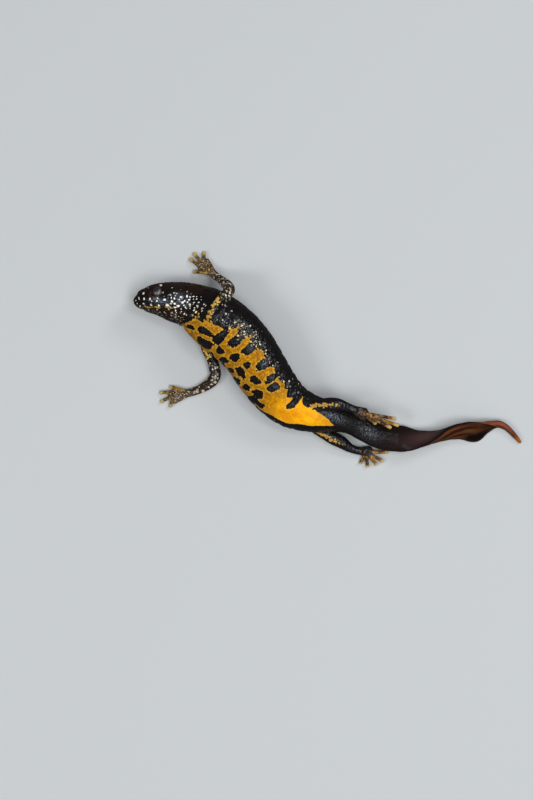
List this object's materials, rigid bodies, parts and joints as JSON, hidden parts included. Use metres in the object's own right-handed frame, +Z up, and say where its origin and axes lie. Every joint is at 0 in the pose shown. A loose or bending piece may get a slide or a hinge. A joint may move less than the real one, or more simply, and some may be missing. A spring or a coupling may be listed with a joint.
{
  "type": "great crested newt",
  "caption": "Still life-size newt lying on its right side and back, belly and left side turned up, tail twisted.",
  "frame": {"origin": "centre of the bounding box at the floor that the newt lies on", "axes": "+X from snout towards the tail, +Z up from the floor to the belly and left side"},
  "size_m": [0.0872, 0.0488, 0.0138],
  "materials": {
    "black_skin": "wet, glossy black skin with fine warts",
    "speckled_skin": "wet black skin stippled with cream dots",
    "yellow_skin": "smooth moist orange-yellow belly skin",
    "tail_skin": "smooth moist grey-brown fin skin",
    "eye": "glossy bronze eye"
  },
  "bodies": {
    "root": {"head": "speckled_skin", "neck": "speckled_skin", "torso_front": "black_skin", "torso_rear": "yellow_skin", "pelvis": "yellow_skin", "tail_base": "black_skin", "tail_middle": "tail_skin", "tail_tip": "tail_skin", "eye_left": "eye", "eye_right": "eye", "upper_arm_left": "speckled_skin", "forearm_left": "speckled_skin", "hand_left": "speckled_skin", "thigh_left": "black_skin", "shank_left": "black_skin", "foot_left": "black_skin", "upper_arm_right": "speckled_skin", "forearm_right": "speckled_skin", "hand_right": "speckled_skin", "thigh_right": "black_skin", "shank_right": "black_skin", "foot_right": "black_skin"}
  },
  "joints": []
}
